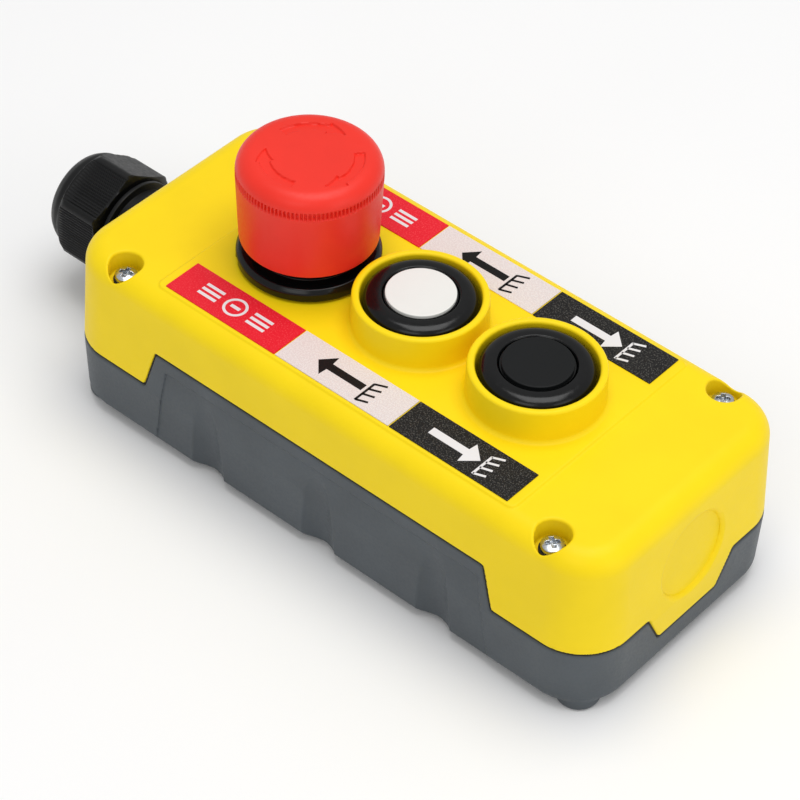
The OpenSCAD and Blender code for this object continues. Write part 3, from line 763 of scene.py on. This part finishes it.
def mushroom_detail(r, z, a):
    """Fine ribs round the shoulder and three arrows engraved in the top."""
    low = np.clip((z - RIB_LOW) / 0.35, 0, 1)
    high = np.clip((RIB_HIGH - z) / 0.5, 0, 1)
    outside = (r > 17.5) & (z > RIB_LOW - 1)
    ribs = np.clip(0.5 - 0.8 * np.cos(RIBS * a), 0, 1)
    r = np.where(outside, r - RIB_DEPTH * low * high * ribs, r)
    on_top = (z > MUSHROOM_TOP - 0.8) & (r < 17.5)
    gap = arrow_distance(r * np.cos(a), r * np.sin(a))
    depth = ARROW_DEPTH * np.clip(0.5 - gap / 0.2, 0, 1)
    return r, np.where(on_top, z - depth, z)


head_side = [(19.22 + 0.76 * t, SKIRT + 0.6 + t * (RIB_LOW - 0.3 - SKIRT - 0.6))
             for t in np.linspace(0, 1, 6)]
shoulder = [(SHOULDER_R, z) for z in np.linspace(RIB_LOW - 0.1, MUSHROOM_TOP - TOP_R, 8)]
fillet = [(20 - TOP_R + TOP_R * math.cos(t) - 0.02, MUSHROOM_TOP - TOP_R + TOP_R * math.sin(t))
          for t in np.radians(np.linspace(4, 88, 43))]
flat_top = [(r, MUSHROOM_TOP) for r in np.arange(14.8, 8.7, -0.2)]
crown = [(r, MUSHROOM_TOP) for r in (8, 6.5, 5, 3, 1)]
skirt = softened([(16.0, ROOF, 0.5), (16.0, SKIRT, 0.3), (19.15, SKIRT, 0.5),
                  (19.22, SKIRT + 0.6, 0)], 4)
mushroom_profile = np.vstack([[(0, ROOF)], skirt[:-1], head_side, shoulder, fillet, flat_top,
                              crown, [(0, MUSHROOM_TOP)]])
segments = 880
mushroom = lathe("estop_head", mushroom_profile, (STOP_X, 0), segments, mushroom_detail,
                 closed=False, sharp_deg=50)
dress(mushroom, "red_plastic", "estop_head", "estop_mushroom")

# ---------------------------------------------------------------- cable gland
GLAND_FLATS = 30.5
GLAND_TURN = math.radians(2.5)
GLAND_TIP = 35.5
GLAND_CORNER_R = 17.2
CAP_BOTTOM = 14.0
CAP_BORE = 11.4
HEX_TOP = 31
GRIP_TOP, GRIP_HALF_W, GRIP_DEPTH, GRIP_PITCH = 28.3, 7.6, 0.34, 0.95
WALL_X = CASE_X - HALF_X


def hexagon_r(a):
    """Radius of the hexagon with softened corners at an angle, and the place across its flat."""
    t = (a - GLAND_TURN) % (math.pi / 3) - math.pi / 6
    flat = GLAND_FLATS / 2 / np.cos(t)
    return -np.logaddexp(-flat * 6, -GLAND_CORNER_R * 6) / 6, np.tan(t) * GLAND_FLATS / 2


def cap_shape(r, z, a):
    """A hexagon inside a round limit, with fine grip ribs along four of its flats."""
    flat, across = hexagon_r(a)
    outside = r > CAP_BORE + 1
    shaped = np.minimum(r, flat)
    sector = np.floor(((a - GLAND_TURN) % (2 * math.pi)) / (math.pi / 3))
    on = np.clip((GRIP_HALF_W - np.abs(across)) / 0.4, 0, 1) * np.where(sector % 3 == 0, 0.0, 1.0)
    along = np.clip((z - CAP_BOTTOM - 0.6) / 0.4, 0, 1) * np.clip((GRIP_TOP - z) / 0.4, 0, 1)
    ribs = 0.5 - 0.5 * np.cos(2 * math.pi * across / GRIP_PITCH)
    shaped = shaped - GRIP_DEPTH * on * along * ribs * (r > flat - 0.01)
    return np.where(outside & (z < HEX_TOP), shaped, r), z


def gland_lathe(name, profile, segments, warp):
    """A lathed gland part laid along -X from the end wall."""
    p, faces = lathe_mesh(profile, segments, warp)
    laid = np.stack([WALL_X - p[:, 2], p[:, 1], GLAND_Z + p[:, 0]], 1)
    return new_object(name, laid, faces)


limit = GLAND_FLATS / 2 + 2.2
cap_side = [(limit, z, 0) for z in (15.8, 19, 22, 25, 27.0)]
cap_profile = softened([
    (CAP_BORE, CAP_BOTTOM, 0.2), (15.0, CAP_BOTTOM, 0.3), (16.4, CAP_BOTTOM + 0.5, 0.3),
    (limit, CAP_BOTTOM + 1.2, 0.2), *cap_side, (16.3, 28.6, 0.4), (15.2, 29.2, 0.4),
    (14.9, 29.8, 0.3), (14.8, GLAND_TIP - 4.2, 1.4), (13.2, GLAND_TIP - 1.4, 1.8),
    (10.4, GLAND_TIP - 0.05, 1.2), (8.4, GLAND_TIP, 0.6), (7.2, GLAND_TIP, 0.2),
    (7.0, GLAND_TIP - 0.5, 0.2), (7.0, 28.0, 0), (CAP_BORE, 28.0, 0),
], 5)
cap = gland_lathe("gland_cap_shell", cap_profile, 720, cap_shape)
dress(cap, "black_nylon", "case", "gland_cap")


def body_shape(r, z, a):
    flat, _ = hexagon_r(a)
    return np.where((r > 13.6) & (z > 0.5) & (z < 6.5), np.minimum(r, flat), r), z


body_profile = softened([
    (8.0, -14, 0.3), (12.4, -14, 0.5), (12.5, 1.0, 0.1), (15.8, 1.0, 0.3), (limit, 1.8, 0.3),
    (limit, 5.0, 0.3), (15.6, 6.0, 0.4), (12.5, 6.0, 0.3), (12.5, 11.3, 0.1), (14.6, 11.7, 0.3),
    (14.6, 13.0, 0.3), (12.4, 13.3, 0.2), (11.35, 13.3, 0.1), (11.35, 26, 0.3), (9.7, 26, 0.2),
    (9.7, 12.0, 0), (8.0, 12.0, 0.1),
], 4)
body = gland_lathe("gland_body_shell", body_profile, 288, body_shape)
dress(body, "black_nylon", "case", "gland_body")

# ---------------------------------------------------------------- return springs
def coil(name, centre_x, node, turns, coil_r, wire_r):
    """Wire wound round the head's axis between the levels of its CAD node."""
    low, high = box_mm(node)
    bottom, top = low[2] + wire_r, high[2] - wire_r
    sides, steps = 8, 40
    total = int(turns * steps)
    t = np.arange(total + 1) / total
    # The end turns lie flat, so the climb starts and ends slowly
    closed = 0.75 / turns
    climb = np.clip((t - closed / 2) / (1 - closed), 0, 1)
    z = bottom + (top - bottom) * climb
    turn = 2 * np.pi * turns * t
    around = 2 * np.pi * np.arange(sides) / sides
    r = coil_r + wire_r * np.cos(around)[None, :]
    p = np.stack([
        centre_x + r * np.cos(turn)[:, None],
        r * np.sin(turn)[:, None],
        z[:, None] + wire_r * np.sin(around)[None, :],
    ], -1).reshape(-1, 3)
    faces = []
    for i in range(total):
        for n in range(sides):
            m = (n + 1) % sides
            a, b = i * sides, (i + 1) * sides
            faces.append([a + n, b + n, b + m, a + m])
    faces.append(list(range(sides)))
    faces.append([total * sides + n for n in reversed(range(sides))])
    return new_object(name, p, faces), bottom - wire_r, top + wire_r


# Return springs of the three heads, made as fixed coils on the case
for name, head_x, turns, coil_r, wire_r in (
    ("estop", STOP_X, 7, 10.5, 0.6),
    ("raise", RAISE_X, 5, 6.5, 0.5),
    ("lower", LOWER_X, 5, 6.5, 0.5),
):
    node = f"{name}_return_spring"
    spring, foot_z, head_z = coil(f"{name}_coil", head_x, node, turns, coil_r, wire_r)
    dress(spring, "spring_steel", "case", node)
    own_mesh(spring)


# ---------------------------------------------------------------- printed symbols
LABEL_Y = 29.2
label_top = {n: box_mm(f"{n}_labels")[1][2] for n in ("stop", "raise", "lower")}
INK_H = 0.05


def ink(name, centre_x, level, outlines, material, slot):
    """Thin raised print: each outline is a closed ring of points round a label's centre."""
    points, faces = [], []
    for side in (-LABEL_Y, LABEL_Y):
        for ring in outlines:
            n, start = len(ring), len(points)
            for z in (level - 0.02, level + INK_H):
                points += [(centre_x + x, side + y, z) for x, y in ring]
            faces.append([start + n + i for i in range(n)])
            faces.append([start + i for i in reversed(range(n))])
            faces += [[start + i, start + (i + 1) % n, start + n + (i + 1) % n, start + n + i]
                      for i in range(n)]
    obj = new_object(name, points, faces)
    dress(obj, slot, "case", material=material)


def stroke(a, b, width):
    """A line between two points with square ends, as a ring of points."""
    a, b = np.array(a, float), np.array(b, float)
    along = (b - a) / np.linalg.norm(b - a)
    across = np.array([-along[1], along[0]]) * width / 2
    return [tuple(q) for q in (a - across, b - across, b + across, a + across)]


def arc_band(inner, outer, start_deg, end_deg, steps=40):
    t = np.radians(np.linspace(start_deg, end_deg, steps))
    ring = [(outer * math.cos(a), outer * math.sin(a)) for a in t]
    return ring + [(inner * math.cos(a), inner * math.sin(a)) for a in t[::-1]]


FLOOR_X, FLOOR_TIP_X = 7.1, 10.45
LINE_W = 0.72
floor_lines = [stroke((FLOOR_X, -4.9), (FLOOR_X, 3.1), LINE_W)]
floor_lines += [stroke((FLOOR_X, a), (FLOOR_TIP_X, b), LINE_W)
                for a, b in ((2.9, 4.4), (0.5, 1.85), (-1.9, -0.8), (-4.7, -3.4))]
away_arrow = [(-10, 0), (-6.3, -4.1), (-6.0, -1.25), (5.9, -1.25), (5.9, 1.25), (-6.0, 1.25),
              (-6.3, 4.1)]
near_arrow = [(5.75, 0), (1.35, 4.0), (0.95, 1.25), (-10.85, 1.25), (-10.85, -1.25),
              (0.95, -1.25), (1.35, -4.0)]
ink("raise_symbol", RAISE_X, label_top["raise"], [away_arrow] + floor_lines, BLACK_INK,
    "white_label")
ink("lower_symbol", LOWER_X, label_top["lower"], [near_arrow] + floor_lines, WHITE_INK,
    "black_label")
stop_rings = [arc_band(2.75, 3.55, a, a + 90) for a in (0, 90, 180, 270)]
stop_bars = [stroke((-1.6, 0), (1.6, 0), 1.1)]
for side in (-1, 1):
    stop_bars += [stroke((side * 5.6, y), (side * 12.0, y), 1.0) for y in (-1.9, 0, 1.9)]
ink("stop_symbol", STOP_X, label_top["stop"], stop_rings + stop_bars, WHITE_INK, "red_label")

# ---------------------------------------------------------------- floor, lights, camera
def floor_piece():
    reach = 4.0
    mesh = bpy.data.meshes.new("floor")
    corners = [(-reach, -reach, 0), (reach, -reach, 0), (reach, reach, 0), (-reach, reach, 0)]
    mesh.from_pydata(corners, [], [(0, 1, 2, 3)])
    obj = bpy.data.objects.new("floor", mesh)
    obj.location.z = -0.0002
    bpy.context.scene.collection.objects.link(obj)
    material, tree, bsdf = shader("floor_paper")
    wide = noise(tree, 6.0, 2.0)
    stops = [(0.3, (0.93, 0.93, 0.93)), (0.7, (0.95, 0.95, 0.95))]
    tree.links.new(ramp(tree, wide, stops), bsdf.inputs["Base Color"])
    bsdf.inputs["Roughness"].default_value = 0.9
    bsdf.inputs["Specular IOR Level"].default_value = 0.1
    mesh.materials.append(material)


floor_piece()


def look_at(obj, target):
    direction = Vector(target) - obj.location
    obj.rotation_euler = direction.to_track_quat("-Z", "Y").to_euler()


LIGHT_TARGET = (0.02, 0, 0.05)


def softbox(name, place, width, height, power):
    """White rectangular light that faces the object."""
    data = bpy.data.lights.new(name, "AREA")
    data.shape = "RECTANGLE"
    data.size = width
    data.size_y = height
    data.energy = power
    obj = bpy.data.objects.new(name, data)
    obj.location = place
    bpy.context.scene.collection.objects.link(obj)
    look_at(obj, LIGHT_TARGET)


softbox("top_light", (0.1, 0.1, 1.3), 0.9, 0.9, 8.8)
softbox("front_light", (0.35, -0.95, 0.95), 0.7, 0.5, 1.7)
softbox("right_light", (1.1, 0.0, 0.5), 0.6, 0.8, 1.7)

world = bpy.data.worlds.new("studio")
world.use_nodes = True
world.node_tree.nodes["Background"].inputs["Color"].default_value = (1, 1, 1, 1)
world.node_tree.nodes["Background"].inputs["Strength"].default_value = 0.51
bpy.context.scene.world = world
bpy.context.scene.view_settings.view_transform = "Standard"
bpy.context.scene.view_settings.look = "None"

CAMERA_AZ, CAMERA_EL, CAMERA_ROLL = (math.radians(a) for a in (39.686, 43.697, 2.125))
CAMERA_DISTANCE = 0.811407
CAMERA_TARGET = Vector((CASE_X * MM + 0.015695, -0.025982, 0.0555))
LENS_MM, SENSOR_MM = 140.479, 36.0

back = Vector((
    math.sin(CAMERA_AZ) * math.cos(CAMERA_EL),
    -math.cos(CAMERA_AZ) * math.cos(CAMERA_EL),
    math.sin(CAMERA_EL),
))
level_x = Vector((0, 0, 1)).cross(back).normalized()
level_y = back.cross(level_x)
right = math.cos(CAMERA_ROLL) * level_x + math.sin(CAMERA_ROLL) * level_y
up = -math.sin(CAMERA_ROLL) * level_x + math.cos(CAMERA_ROLL) * level_y
camera_data = bpy.data.cameras.new("photo_view")
camera_data.lens = LENS_MM
camera_data.sensor_width = SENSOR_MM
camera_data.clip_start = 0.05
camera = bpy.data.objects.new("photo_view", camera_data)
turn = Matrix((right, up, back)).transposed().to_4x4()
camera.matrix_world = Matrix.Translation(CAMERA_TARGET + back * CAMERA_DISTANCE) @ turn
bpy.context.scene.collection.objects.link(camera)
bpy.context.scene.camera = camera

bpy.context.view_layer.update()
